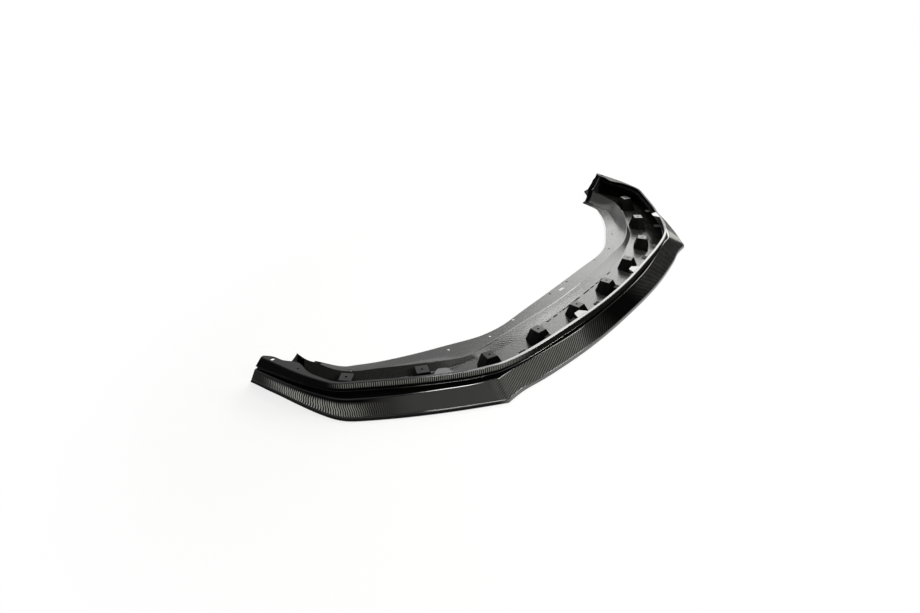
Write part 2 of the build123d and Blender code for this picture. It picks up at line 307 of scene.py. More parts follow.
# Lamps: name, place, what they face, width, depth, power in watts and the blue in their colour
LAMPS = [("back_panel", (6.82, 2.085, 3.63), (0.0, 0.0, 0.0), 3.9, 5.4, 245, 0.98),
         ("far_box", (8.6, 0.5, 0.64), (0.65, -0.2, 0.0), 1.6, 1.15, 44, 0.91),
         ("ramp_box", (3.68, 0.39, 3.35), (0.0, -0.13, 0.0), 1.05, 1.2, 24, 0.96),
         ("side_panel", (2.41, 3.75, 3.53), (-0.9, 0.2, 0.0), 3.4, 2.8, 32, 1.0),
         ("top_box", (0.0, 0.9, 3.2), (0.0, 0.0, 0.0), 3.0, 1.6, 17, 1.0),
         ("crest_box", (0.36, 0.06, 2.6), (-0.7, -0.17, 0.0), 0.66, 0.38, 14, 1.0),
         ("nose_box", (1.54, -0.8, 2.45), (-0.45, -0.27, 0.0), 1.1, 1.2, 22, 0.92),
         ("left_edge_box", (-1.35, -2.36, 1.94), (-0.62, -0.23, 0.0), 1.6, 0.35, 30, 0.92),
         ("right_edge_box", (1.5, -1.95, 1.65), (-0.4, -0.3, 0.0), 1.0, 0.5, 24, 0.96)]
# Camera: place, what it faces, and its focal length in pixels of the picture
EYE = (-1.750, -1.0011, 1.0698)
EYE_TARGET = (-0.344, 0.088, 0.041)
SENSOR_WIDTH = 36
FOCAL_PIXELS = 650
PICTURE_PIXELS = 920
CLIP_END = 200


def moved_in(plan, distance):
    """Moves plan points towards the inside by one distance, or by one per point."""
    plan = np.array(plan, float)
    legs = np.diff(plan, axis=0)
    legs /= np.linalg.norm(legs, axis=1)[:, None]
    before = np.vstack([(1, 0), legs[:-1], (0, 1)])
    after = np.vstack([(1, 0), legs[1:], (0, 1)])
    heading = before + after
    step = 2 * np.broadcast_to(distance, len(plan)) / (heading ** 2).sum(1)
    return plan + np.column_stack([-heading[:, 1], heading[:, 0]]) * step[:, None]


def at_height(plan, height, rise=0.0, rise_end=END_FOOT_Y):
    """Lifts plan points to a height at the nose that climbs towards the wings."""
    plan = np.array(plan, float)
    z = height + rise * (np.minimum(plan[:, 1], rise_end) - STRIP_PLAN[0][1])
    return np.column_stack([plan, z])


def skin_lines():
    """Gives the edge lines of the skin's section on one half, round from the foot of the rim."""
    low_z = CREST_HEIGHT + GROOVE_HEIGHT
    top_z = low_z + STRIP_HEIGHT
    y = np.array(STRIP_PLAN, float)[:, 1]
    flare = -STRIP_FLARE * np.maximum(0, y - FLARE_START) / (y[-1] - FLARE_START)
    strip_low = moved_in(STRIP_PLAN, flare)
    groove = moved_in(strip_low, GROOVE_DEPTH)
    flange = moved_in(STRIP_PLAN, FLANGE_WIDTH + np.array(FLANGE_EXTRA))
    crest = (RISE, CREST_RISE_END)
    low = (RISE, STRIP_LOW_RISE_END)
    return [
        at_height(RIM_PLAN, 0),
        at_height(moved_in(RIM_PLAN, RIM_DRAFT), RIM_HEIGHT),
        at_height(CREST_PLAN, CREST_HEIGHT, *crest),
        at_height(groove, CREST_HEIGHT, *crest),
        at_height(groove, low_z, *low),
        at_height(strip_low, low_z, *low),
        at_height(STRIP_PLAN, top_z, RISE),
        at_height(flange, top_z, RISE),
        at_height(flange, top_z - WALL, RISE),
        at_height(moved_in(STRIP_PLAN, WALL), top_z - WALL, RISE),
        at_height(moved_in(strip_low, WALL), low_z + WALL, *low),
        at_height(moved_in(groove, WALL), low_z + WALL, *low),
        at_height(moved_in(groove, WALL), CREST_HEIGHT - SKIN_DROP, *crest),
        at_height(moved_in(CREST_PLAN, WALL), CREST_HEIGHT - SKIN_DROP, *crest),
        at_height(moved_in(RIM_PLAN, WALL), RIM_HEIGHT - SKIN_DROP),
        at_height(moved_in(RIM_PLAN, WALL), 0),
    ]


def fair_line(points, knots, at):
    """Reads a smooth curve through points, set at knots, at the given parameters."""
    points = np.array(points, float)
    gap = np.diff(knots)
    count = len(knots)
    terms = np.zeros((count, count))
    terms[0, 0] = terms[-1, -1] = 1
    bend = np.zeros_like(points)
    slope = np.diff(points, axis=0) / gap[:, None]
    for k in range(1, count - 1):
        terms[k, k - 1:k + 2] = gap[k - 1], 2 * (gap[k - 1] + gap[k]), gap[k]
        bend[k] = 6 * (slope[k] - slope[k - 1])
    bend = np.linalg.solve(terms, bend)
    k = np.clip(np.searchsorted(knots, at, side="right") - 1, 0, count - 2)
    h = gap[k][:, None]
    a = (knots[k + 1] - at)[:, None] / h
    b = 1 - a
    curve = (a ** 3 - a) * bend[k] + (b ** 3 - b) * bend[k + 1]
    return a * points[k] + b * points[k + 1] + curve * h * h / 6


def chords(plan):
    """Adds up the chord lengths along a plan."""
    legs = np.linalg.norm(np.diff(np.array(plan, float), axis=0), axis=1)
    return np.concatenate([[0], np.cumsum(legs)])


def divided(knots, spacing):
    """Fills each stretch between knots with evenly spaced parameters."""
    runs = []
    for a, b in zip(knots, knots[1:]):
        runs.append(np.linspace(a, b, max(2, math.ceil((b - a) / spacing)), endpoint=False))
    return np.concatenate(runs + [knots[-1:]])


def half_rows(line, spacing):
    """Samples one edge line from the centre to past the wing end, with its corner kept sharp."""
    plan = np.array(STRIP_PLAN, float)
    nose_plan = np.vstack([plan[CORNER:0:-1] * (-1, 1), plan[:CORNER + 1]])
    nose = np.vstack([line[CORNER:0:-1] * (-1, 1, 1), line[:CORNER + 1]])
    nose_knots = chords(nose_plan)
    nose_rows = fair_line(nose, nose_knots, divided(nose_knots[CORNER:], spacing))
    side_knots = chords(plan[CORNER:])
    side_rows = fair_line(line[CORNER:], side_knots, divided(side_knots, spacing))
    return np.vstack([nose_rows, side_rows[1:]])


def all_of(bm):
    """Gives all the geometry of a bmesh."""
    return bm.verts[:] + bm.edges[:] + bm.faces[:]


def only(kind, geometry):
    """Picks one kind of element out of mixed geometry."""
    return [part for part in geometry if isinstance(part, kind)]


def rounded(bm, edges, size, segments, **ways):
    """Rounds edges over by a size in millimetres, and gives what is new."""
    return bmesh.ops.bevel(bm, geom=edges, affect="EDGES", offset=size * MM, segments=segments, profile=0.5,
                           material=-1, **ways)


def mirrored(bm, join):
    """Adds the mirror image of one half, joined to it within a distance."""
    bmesh.ops.mirror(bm, geom=all_of(bm), axis="X", merge_dist=join)
    bmesh.ops.recalc_face_normals(bm, faces=bm.faces[:])


def ends_cut(bm):
    """Cuts the wing end of one half on the rake, closes it and adds the other half."""
    rake = math.radians(END_RAKE)
    cut = bmesh.ops.bisect_plane(bm, geom=all_of(bm), plane_co=(0, END_FOOT_Y * MM, 0),
                                 plane_no=(0, math.cos(rake), math.sin(rake)), clear_outer=True)
    bmesh.ops.contextual_create(bm, geom=only(BMEdge, cut["geom_cut"]))
    mirrored(bm, HALVES_JOIN)


def wrapped(bm, wrap):
    """Lays a grid over rows and columns of points, and gives the row and column of each vertex."""
    last_row, last_column = wrap.shape[0] - 1, wrap.shape[1] - 1
    half = 0.5
    bmesh.ops.create_grid(bm, x_segments=last_row, y_segments=last_column, size=half)
    spot = {}
    for v in bm.verts:
        spot[v] = (round((v.co.x + half) * last_row), round((v.co.y + half) * last_column))
        v.co = wrap[spot[v]]
    return spot


def line_edges(bm, spot, column):
    """Picks the edges along one line of a wrapped grid."""
    return [e for e in bm.edges if all(spot[v][1] == column for v in e.verts)]


def piece_from(bm, name, *finishes):
    """Turns a bmesh into an object of the lip with its finishes."""
    mesh = bpy.data.meshes.new(name)
    bm.to_mesh(mesh)
    bm.free()
    for finish in finishes:
        mesh.materials.append(finish)
    piece = bpy.data.objects.new(name, mesh)
    bpy.context.scene.collection.objects.link(piece)
    return piece


def smooth_shaded(piece):
    """Shades a piece smooth, with its large faces kept true beside the rounded edges."""
    for face in piece.data.polygons:
        face.use_smooth = True
    piece.data.set_sharp_from_angle(angle=math.radians(SHARP_ANGLE))
    weigh = piece.modifiers.new("true_faces", "WEIGHTED_NORMAL")
    weigh.weight = FACE_WEIGHT
    weigh.keep_sharp = True
    return piece


def cut_out(piece, bm):
    """Cuts the shapes in a bmesh out of a piece, whose finishes the cut faces take by number."""
    cutter = piece_from(bm, "cutter", *piece.data.materials)
    cut = piece.modifiers.new("cut", "BOOLEAN")
    cut.operation = "DIFFERENCE"
    cut.solver = "EXACT"
    cut.object = cutter
    bpy.context.view_layer.update()
    graph = bpy.context.evaluated_depsgraph_get()
    result = bpy.data.meshes.new_from_object(piece.evaluated_get(graph))
    piece.modifiers.remove(cut)
    piece.data = result
    bpy.data.objects.remove(cutter)
    return piece


def both_sides(places):
    """Repeats places on the other half, with any turn the other way round."""
    return list(places) + [(-p[0], p[1], *[-turn for turn in p[2:]]) for p in places]


def drill(bm, place, radius, length):
    """Adds an upright drill with its middle at a place."""
    bmesh.ops.create_cone(bm, cap_ends=True, segments=DRILL_SIDES, radius1=radius * MM, radius2=radius * MM,
                          depth=length * MM, matrix=Matrix.Translation(Vector(place) * MM))


def drawn_out(bm, place, corners, path):
    """Draws a flat face out along a path, both in millimetres at a place."""
    face = bm.faces.new([bm.verts.new(place @ Vector(c)) for c in corners])
    drawn = bmesh.ops.extrude_face_region(bm, geom=[face])["geom"]
    bmesh.ops.translate(bm, verts=only(BMVert, drawn), vec=place.to_3x3() @ Vector(path))


def lip_skin(finishes):
    """Models the gloss skin: one grid wrapped round the section, edges rounded, ends cut on the rake."""
    lines = [half_rows(line, SKIN_SPACING) for line in skin_lines()]
    wrap = np.stack(lines + lines[:1], axis=1) * MM
    along = chords(wrap[:, STRIP_TOP_LINE])
    steps = np.linalg.norm(np.diff(wrap, axis=1), axis=2)
    from_rim = np.concatenate([np.zeros((len(wrap), 1)), np.cumsum(steps, axis=1)], axis=1)
    from_crest = from_rim - from_rim[:, CREST_LINE:CREST_LINE + 1]
    bm = bmesh.new()
    weave = bm.loops.layers.uv.new("weave")
    spot = wrapped(bm, wrap)
    for face in bm.faces:
        for loop in face.loops:
            row, column = spot[loop.vert]
            loop[weave].uv = (along[row], from_crest[row, column])
        band = min(spot[v][1] for v in face.verts)
        face.material_index = BAND_FINISH.get(band, PLAIN_GLOSS)
    crest, rim_top = [line_edges(bm, spot, line) for line in (CREST_LINE, RIM_LINE)]
    bmesh.ops.remove_doubles(bm, verts=bm.verts[:], dist=JOIN_REACH)
    looks, fresh = {}, set()
    for edges, size, look in ((crest, CREST_BEAD, EDGE_GLOSS), (rim_top, RIM_BEAD, RIM_EDGE_GLOSS)):
        made = rounded(bm, edges, size, segments=5, loop_slide=True)
        looks.update(dict.fromkeys(made["faces"], look))
        fresh.update(made["edges"])
    hard = [e for e in bm.edges if e not in fresh and e.is_manifold and e.calc_face_angle() > SKIN_HARD]
    made = rounded(bm, hard, SKIN_EDGE, segments=3, loop_slide=True)
    for face, look in [*looks.items(), *dict.fromkeys(made["faces"], EDGE_GLOSS).items()]:
        if face.is_valid:
            face.material_index = look
    ends_cut(bm)
    return piece_from(bm, "lip_skin", *finishes)


def wing_drills():
    """Draws the drills for the holes in the wings' top flanges."""
    bm = bmesh.new()
    for x, y, radius in WING_HOLES:
        for place in both_sides([(x, y)]):
            drill(bm, (*place, WING_DRILL_HEIGHT), radius, WING_DRILL_LENGTH)
    return bm


def on_line(line, x, run):
    """Gives the matrix, from millimetres, of a place on an edge line of the skin, turned along it."""
    here, ahead = [Vector([np.interp(at, line[:, 0], line[:, k]) for k in range(3)]) for at in (x, x + run)]
    turn = math.atan2(ahead.y - here.y, ahead.x - here.x)
    return Matrix.Translation(here * MM) @ Matrix.Rotation(turn, 4, "Z") @ Matrix.Scale(MM, 4)


def clip_tabs(finish, plate_finish):
    """Models the clip tabs behind the strip, each on a thin gusset, and the clip plates on the flange."""
    lines = skin_lines()
    bm = bmesh.new()
    for x in PLATE_X:
        root, tip = PLATE_WIDTH / 2, PLATE_TIP / 2
        corners = [(-root, -PLATE_SINK, 0), (root, -PLATE_SINK, 0),
                   (tip, PLATE_REACH, 0), (-tip, PLATE_REACH, 0)]
        drawn_out(bm, on_line(lines[FLANGE_LINE], x, TAB_WIDTH), corners, (0, 0, -WALL))
    for face in bm.faces:
        face.material_index = TAB_PLATE
    for x in TAB_X:
        place = on_line(lines[TAB_LINE], x, TAB_WIDTH)
        middle = Matrix.Translation((0, (TAB_REACH - TAB_SINK) / 2, -WALL / 2))
        size = Matrix.Diagonal((TAB_WIDTH, TAB_REACH + TAB_SINK, WALL, 1))
        bmesh.ops.create_cube(bm, size=1, matrix=place @ (middle @ size))
        side = -WALL / 2
        corners = [(side, -GUSSET_SINK, GUSSET_TOP), (side, TAB_REACH - GUSSET_SHORT, GUSSET_TOP),
                   (side, -GUSSET_SINK, -TAB_GUSSET)]
        drawn_out(bm, place, corners, (WALL, 0, 0))
    bmesh.ops.recalc_face_normals(bm, faces=bm.faces[:])
    rounded(bm, bm.edges[:], TAB_EDGE, segments=2)
    mirrored(bm, HALVES_APART)
    return piece_from(bm, "clip_tabs", finish, plate_finish)


def flange_top(x):
    """Gives the height of the rear flange's top, which sinks to the floor at the arches."""
    share = np.clip((RISE_FADE[1] - abs(x)) / (RISE_FADE[1] - RISE_FADE[0]), 0, 1)
    return WALL + FLANGE_RISE * share * share * (3 - 2 * share)


def flange_drill(bm, x, y, radius, relief):
    """Adds a drill through the rear flange that widens downwards by the relief, and gives its vertices."""
    widening = relief / WALL
    place = Matrix.Translation(Vector((x, y, flange_top(x) - WALL / 2)) * MM)
    low_radius = radius + (WALL + DRILL_OVER) * widening
    high_radius = radius - DRILL_OVER * widening
    made = bmesh.ops.create_cone(bm, cap_ends=True, segments=FLANGE_DRILL_SIDES, radius1=low_radius * MM,
                                 radius2=high_radius * MM, depth=(WALL + 2 * DRILL_OVER) * MM, matrix=place)
    return made["verts"]


def flange_drills():
    """Draws the drills for the holes and the slot in the rear flange, whose walls are painted black as
    painted shade.
    """
    bm = bmesh.new()
    for x, y in both_sides(REAR_HOLES):
        relieved = RELIEVED_HOLES[0] < x < RELIEVED_HOLES[1]
        flange_drill(bm, x, y, REAR_HOLE_RADIUS, HOLE_RELIEF if relieved else 0.0)
    for v in flange_drill(bm, 0, SLOT_Y, SLOT_WIDTH / 2, HOLE_RELIEF):
        v.co.x += math.copysign((SLOT_LENGTH - SLOT_WIDTH) / 2 * MM, v.co.x)
    # Painted shade: the cut walls take the tray's black finish so that the holes look dark
    for face in bm.faces:
        face.material_index = TRAY_PAINTED_SHADE
    return bm


def back_lines():
    """Gives the tray's long lines from the ramp's foot to the rear edge: top ones, then underside ones."""
    ramp, crease, rear = [np.array(plan, float) for plan in (RAMP_PLAN, CREASE_PLAN, REAR_PLAN)]
    rise = np.array(RIDGE_HEIGHT)
    rear_z = flange_top(rear[:, 0])
    slope = rise / np.linalg.norm(ramp - crease, axis=1)
    lean = np.hypot(1, slope)
    top = [at_height(ramp, WALL)]
    under = [at_height(moved_in(ramp, WALL * slope / lean), 0)]
    for part in COVE_SHARES:
        left = max(0, 1 - part / COVE_END)
        z = rear_z + (WALL + rise - rear_z) * left ** COVE_POWER
        plan = crease + part * (rear - crease)
        top.append(np.column_stack([plan, z]))
        under.append(np.column_stack([plan, z - WALL * (1 + (lean - 1) * left ** LEAN_POWER)]))
    return top, under


def tray_rows(line, nose_rows, side_rows):
    """Samples one long line of the tray from the centre to the wing end."""
    plan = np.array(CREASE_PLAN, float)
    last = len(plan) - 1
    knots = chords(np.vstack([plan[:0:-1] * (-1, 1), plan]))
    whole = np.vstack([line[:0:-1] * (-1, 1, 1), line])
    bend = knots[last + BEND_STATION]
    nose_at = np.linspace(knots[last], bend, nose_rows)
    side_at = np.linspace(bend, knots[-1], side_rows + 1)
    return fair_line(whole, knots, np.concatenate([nose_at, side_at[1:]]))


def tray_panel(finish, shade_finish, crease_finish):
    """Models the tray's laminate: one grid wrapped over floor, ramp, ridge, cove, flange and back under."""
    rim = moved_in(RIM_PLAN, WALL + BOND_GAP)
    nose_rows = len(divided(chords(STRIP_PLAN[:CORNER + 1]), TRAY_SPACING))
    side_rows = len(divided(chords(STRIP_PLAN[CORNER:]), TRAY_SPACING)) - 1
    top, under = [[tray_rows(line, nose_rows, side_rows) for line in lines] for lines in back_lines()]
    edge_top, edge_under = [half_rows(at_height(rim, z), TRAY_SPACING) for z in (WALL, 0)]
    wrap = np.stack([edge_top] + top + under[::-1] + [edge_under, edge_top], axis=1) * MM
    last_row = len(wrap) - 1
    rear = len(top)
    bm = bmesh.new()
    spot = wrapped(bm, wrap)

    def end_edges(first, last):
        """Picks the edges of the wing end between two lines of the wrap."""
        span = {v for v in bm.verts if spot[v][0] == last_row and first <= spot[v][1] <= last}
        return [e for e in bm.edges if span.issuperset(e.verts)]

    foot, crease, rear_top, rear_under = [line_edges(bm, spot, line)
                                          for line in (FOOT_LINE, CREASE_LINE, rear, rear + 1)]
    bmesh.ops.bridge_loops(bm, edges=end_edges(0, rear) + end_edges(rear + 1, 2 * rear + 1))
    bmesh.ops.remove_doubles(bm, verts=bm.verts[:], dist=JOIN_REACH)
    bmesh.ops.recalc_face_normals(bm, faces=bm.faces[:])
    for edges, size, look in ((foot, CREASE_EDGE, TRAY_SATIN), (crease, CREASE_EDGE, TRAY_CREASE),
                              (rear_top + rear_under, LAMINATE_EDGE, TRAY_SATIN)):
        left = [e for e in edges if e.is_valid]
        made = rounded(bm, left, size, segments=3, loop_slide=True, clamp_overlap=True)
        for face in made["faces"]:
            face.material_index = look
    ends_cut(bm)
    # Painted shade: the tip at each wing end takes the black finish
    for face in bm.faces:
        if face.calc_center_median().y > SHADED_TIP_START * MM:
            face.material_index = TRAY_PAINTED_SHADE
    return piece_from(bm, "tray_panel", finish, shade_finish, crease_finish)


def end_webs(finish):
    """Models the webs across the trough at the wing ends, with their scooped tops."""
    arch_x, arch_y = CREASE_PLAN[-1]
    toe = RAMP_PLAN[-1][0] - WALL / 2
    strip = moved_in(STRIP_PLAN, WALL)
    outer = np.interp(arch_y, strip[:, 1], strip[:, 0]) - WEB_CLEARANCE
    brow = WALL + WEB_RISE
    run = RAMP_PLAN[-1][0] - arch_x
    crown = (arch_x + WALL * run / RIDGE_HEIGHT[-1], RIDGE_HEIGHT[-1])
    scoop = np.array([crown, (arch_x + WEB_DIP_REACH, WALL + WEB_DIP), (outer - WALL, brow)])
    knots = chords(scoop)
    border = [*fair_line(scoop, knots, np.linspace(0, knots[-1], SCOOP_POINTS)),
              (outer, brow), (outer, WALL / 2), (toe, WALL / 2)]
    bm = bmesh.new()
    drawn_out(bm, Matrix.Scale(MM, 4), [(x, arch_y, z) for x, z in border], (0, -WALL, 0))
    bmesh.ops.recalc_face_normals(bm, faces=bm.faces[:])
    hard = [e for e in bm.edges if e.calc_face_angle() > WEB_HARD]
    rounded(bm, hard, WEB_EDGE, segments=2)
    mirrored(bm, HALVES_APART)
    return piece_from(bm, "end_webs", finish)


def tower_ring(widen, shrink):
    """Gives the corners of a tower's level section, from plate (0) to base (1) size."""
    plate = TOWER_PLATE / 2
    half_front = plate + widen * (TOWER_BASE_WIDTH / 2 - plate) - shrink
    half_back = plate + widen * (TOWER_BASE_BACK / 2 - plate) - shrink
    front = -(plate + widen * (TOWER_BASE_FRONT - plate)) + shrink
    rear = plate + widen * (TOWER_BASE_REAR - plate) - shrink
    return [(-half_front, front), (half_front, front), (half_front, 0),
            (half_back, rear), (-half_back, rear), (-half_front, 0)]


def tower_place(x, y, turn):
    """Gives the matrix that stands a tower in its place, from millimetres."""
    foot = Matrix.Translation(Vector((x, y, 0)) * MM)
    return foot @ Matrix.Rotation(math.radians(turn), 4, "Z") @ Matrix.Scale(MM, 4)


def drawn_tower(bm, place, low, high):
    """Draws a shape up from one ring of corners to another, each with its height, and gives its top face."""
    base = bm.faces.new([bm.verts.new(place @ Vector((*corner, low[1]))) for corner in low[0]])
    drawn = bmesh.ops.extrude_face_region(bm, geom=[base])["geom"]
    roof = only(BMFace, drawn)[0]
    for v, corner in zip(roof.verts, high[0]):
        v.co = place @ Vector((*corner, high[1]))
    return roof


def tower_height(y):
    """Gives the height of a tower's plate, which climbs with the strip."""
    return TOWER_TOP + RISE * (y - TOWERS[0][1])


def tower_hollows():
    """Draws the hollows under the towers, for cutting."""
    bm = bmesh.new()
    for x, y, turn in both_sides(TOWERS):
        top = tower_height(y)
        foot = (tower_ring(1, WALL), HOLLOW_FOOT)
        roof = (tower_ring(TOWER_CAP / top, WALL), top - TOWER_CAP)
        drawn_tower(bm, tower_place(x, y, turn), foot, roof)
    bmesh.ops.recalc_face_normals(bm, faces=bm.faces[:])
    return bm


def towers(body, cap):
    """Models the mounting towers: hollow six-sided bodies with a plate, a screw hole and two ears."""
    bm = bmesh.new()
    holes = bmesh.new()
    ear_x = TOWER_PLATE / 2 - WALL / 2
    for x, y, turn in both_sides(TOWERS):
        top = tower_height(y)
        place = tower_place(x, y, turn)
        roof = drawn_tower(bm, place, (tower_ring(1, 0), WALL / 2), (tower_ring(0, 0), top))
        roof.material_index = TOWER_CAP_PLATE
        for side in (-1, 1):
            corners = [(side * ear_x - WALL / 2, back, top + over) for back, over in EAR_OUTLINE]
            drawn_out(bm, place, corners, (WALL, 0, 0))
        drill(holes, (x, y, top), TOWER_HOLE_RADIUS, TOWER_DRILL_LENGTH)
    bmesh.ops.recalc_face_normals(bm, faces=bm.faces[:])
    hard = [e for e in bm.edges if e.calc_face_angle() > TOWER_HARD]
    rounded(bm, hard, TOWER_EDGE, segments=3, clamp_overlap=True)
    bmesh.ops.recalc_face_normals(bm, faces=bm.faces[:])
    return cut_out(cut_out(piece_from(bm, "towers", body, cap), tower_hollows()), holes)


def new_finish(name):
    """Starts a material and gives it with its node tree and shader."""
    finish = bpy.data.materials.new(name)
    finish.use_nodes = True
    tree = finish.node_tree
    return finish, tree, tree.nodes["Principled BSDF"]


def calc(tree, operation, *values):
    """Adds a Math node fed by sockets or plain numbers."""
    node = tree.nodes.new("ShaderNodeMath")
    node.operation = operation
    for k, value in enumerate(values):
        if isinstance(value, (int, float)):
            node.inputs[k].default_value = value
        else:
            tree.links.new(value, node.inputs[k])
    return node.outputs[0]


def product(tree, first, *others):
    """Multiplies sockets or plain numbers."""
    for other in others:
        first = calc(tree, "MULTIPLY", first, other)
    return first


def between(tree, value, low, high):
    """Fades from 0 to 1 as a value passes from low to high."""
    fade = tree.nodes.new("ShaderNodeMapRange")
    fade.interpolation_type = "SMOOTHSTEP"
    fade.inputs["From Min"].default_value = low
    fade.inputs["From Max"].default_value = high
    tree.links.new(value, fade.inputs["Value"])
    return fade.outputs["Result"]


def blend_colour(tree, factor, low, high):
    """Mixes two colours, each plain or from a socket, by a factor."""
    mix = tree.nodes.new("ShaderNodeMix")
    mix.data_type = "RGBA"
    tree.links.new(factor, mix.inputs["Factor"])
    for socket, value in ((mix.inputs["A"], low), (mix.inputs["B"], high)):
        if isinstance(value, tuple):
            socket.default_value = (*value, 1)
        else:
            tree.links.new(value, socket)
    return mix.outputs["Result"]


def object_place(tree):
    """Gives the place on the object in metres, as a vector."""
    return tree.nodes.new("ShaderNodeTexCoord").outputs["Object"]


def parts_of(tree, vector):
    """Splits a vector into its x, y and z."""
    split = tree.nodes.new("ShaderNodeSeparateXYZ")
    tree.links.new(vector, split.inputs[0])
    return split.outputs["X"], split.outputs["Y"], split.outputs["Z"]


def cloth_place(tree):
    """Gives the place on the cloth: metres along the skin and metres round its section from the crest."""
    uv = tree.nodes.new("ShaderNodeUVMap")
    uv.uv_map = "weave"
    return parts_of(tree, uv.outputs["UV"])[:2]


def noise(tree, scale, detail=2):
    """Gives a cloudy pattern in the object's own place."""
    cloud = tree.nodes.new("ShaderNodeTexNoise")
    cloud.inputs["Scale"].default_value = scale
    cloud.inputs["Detail"].default_value = detail
    tree.links.new(object_place(tree), cloud.inputs["Vector"])
    return cloud.outputs["Fac"]


def wave(tree, coordinate):
    """Gives the rounded crown of each unit step along a coordinate."""
    return calc(tree, "SINE", product(tree, calc(tree, "FRACT", coordinate), math.pi))


def twill(tree, across, along):
    """Gives a two-by-two twill from coordinates in tows: which cloth direction is on top, and its crown."""
    tows = calc(tree, "ADD", calc(tree, "FLOOR", across), calc(tree, "FLOOR", along))
    over = calc(tree, "LESS_THAN", calc(tree, "FLOORED_MODULO", tows, TWILL_REPEAT), TWILL_OVER)
    mix = tree.nodes.new("ShaderNodeMix")
    tree.links.new(over, mix.inputs["Factor"])
    tree.links.new(wave(tree, along), mix.inputs["A"])
    tree.links.new(wave(tree, across), mix.inputs["B"])
    return over, mix.outputs["Result"]


def clear_coat(shader, weight, index, haze=LACQUER_HAZE):
    """Sets the lacquer over a gloss finish by its weight, refractive index and haze."""
    shader.inputs["Roughness"].default_value = UNDER_LACQUER_ROUGH
    shader.inputs["Specular IOR Level"].default_value = 0.0
    shader.inputs["Coat Weight"].default_value = weight
    shader.inputs["Coat Roughness"].default_value = haze
    shader.inputs["Coat IOR"].default_value = index


def bumped(tree, shader, height, strength):
    """Raises the surface by a height pattern."""
    bump = tree.nodes.new("ShaderNodeBump")
    bump.inputs["Strength"].default_value = strength
    bump.inputs["Distance"].default_value = BUMP_HEIGHT
    tree.links.new(height, bump.inputs["Height"])
    tree.links.new(bump.outputs["Normal"], shader.inputs["Normal"])


def blade_carbon():
    """Clear-coated carbon cloth on the blade: tows that lean on the nose and step to and fro on the wing,
    pale there as painted sheen.
    """
    finish, tree, shader = new_finish("blade_cloth")
    along, around = cloth_place(tree)
    nose = between(tree, along, *NOSE_CLOTH)
    side = calc(tree, "SUBTRACT", 1, nose)
    swing = product(tree, calc(tree, "PINGPONG", calc(tree, "DIVIDE", around, STEP_LENGTH), 1), STEP_SWING)
    stepped = wave(tree, calc(tree, "ADD", calc(tree, "DIVIDE", along, WING_TOW), swing))
    slanted = calc(tree, "MULTIPLY_ADD", around, NOSE_LEAN, along)
    leaning = wave(tree, calc(tree, "DIVIDE", slanted, NOSE_TOW))
    tow = calc(tree, "MULTIPLY_ADD", leaning, nose, product(tree, stepped, side))
    on_nose = product(tree, between(tree, along, *NOSE_TOWS_FROM_CORNER),
                      between(tree, along, *NOSE_TOWS_FROM_CENTRE))
    # On the wing the tows are held black just under the crest, painted shade
    on_wing = product(tree, between(tree, along, *WING_TOWS_FROM_SIDE),
                      between(tree, along, *WING_TOWS_FROM_TIP),
                      between(tree, around, *CREST_SHADE_BAND))
    bar = product(tree, calc(tree, "POWER", tow, BLADE_CROWN), calc(tree, "ADD", on_nose, on_wing))
    on_side = product(tree, between(tree, along, *PLAIN_CLOTH_FROM_WING),
                      between(tree, along, *PLAIN_CLOTH_FROM_CORNER))
    at_tip = product(tree, between(tree, along, *PLAIN_CLOTH_AT_TIP), TIP_SHARE)
    plain = calc(tree, "MAXIMUM", on_side, at_tip)
    uneven = calc(tree, "ADD", noise(tree, UNEVEN_SCALE), UNEVEN_BASE)
    # Painted sheen: the wing's tows are painted pale, the nose keeps the cloth's own dark tone
    tow_tone_and_sheen = product(tree, calc(tree, "MULTIPLY_ADD", side, WING_TOW_SHEEN, NOSE_PALE), uneven)
    light = calc(tree, "MULTIPLY_ADD", bar, tow_tone_and_sheen, product(tree, plain, PLAIN_PALE))
    tree.links.new(blend_colour(tree, light, DEEP_BLACK, BLADE_TOWS_AND_SHEEN), shader.inputs["Base Color"])
    clear_coat(shader, BLADE_COAT_MEAN, LACQUER_INDEX, BLADE_HAZE)
    coat = calc(tree, "MULTIPLY_ADD", product(tree, plain, side), PLAIN_COAT, BLADE_COAT)
    coat = calc(tree, "MULTIPLY_ADD", bar, TOW_COAT, coat)
    tree.links.new(coat, shader.inputs["Coat Weight"])
    return finish


def strip_carbon():
    """Clear-coated carbon cloth on the strip: upright tows, pale as painted sheen, that sink into black at
    the nose and wings.
    """
    finish, tree, shader = new_finish("strip_cloth")
    along, _ = cloth_place(tree)
    tow = calc(tree, "POWER", wave(tree, calc(tree, "DIVIDE", along, STRIP_TOW)), STRIP_CROWN)
    _, y, z = parts_of(tree, object_place(tree))
    foot = (CREST_HEIGHT + GROOVE_HEIGHT - RISE * STRIP_PLAN[0][1]) * MM
    up = calc(tree, "SUBTRACT", calc(tree, "MULTIPLY_ADD", y, -RISE, z), foot)
    # Painted sheen: the strip's tows are painted pale only in these zones
    shown = product(tree, between(tree, along, *STRIP_TOWS_FROM_NOSE),
                    between(tree, along, *STRIP_TOWS_FROM_WING), between(tree, up, *STRIP_TOWS_FROM_FOOT))
    on_nose = between(tree, along, *STRIP_TOWS_FROM_NOSE[::-1])
    light = calc(tree, "MULTIPLY_ADD", tow, shown, product(tree, on_nose, STRIP_NOSE_PALE))
    tree.links.new(blend_colour(tree, light, DEEP_BLACK, STRIP_TOWS_AND_SHEEN), shader.inputs["Base Color"])
    clear_coat(shader, STRIP_COAT, LACQUER_INDEX)
    return finish


def shades(tone, spread):
    """Gives the darkest and the palest grey of an uneven tone."""
    return ((1 - spread) * tone,) * 3, ((1 + spread) * tone,) * 3


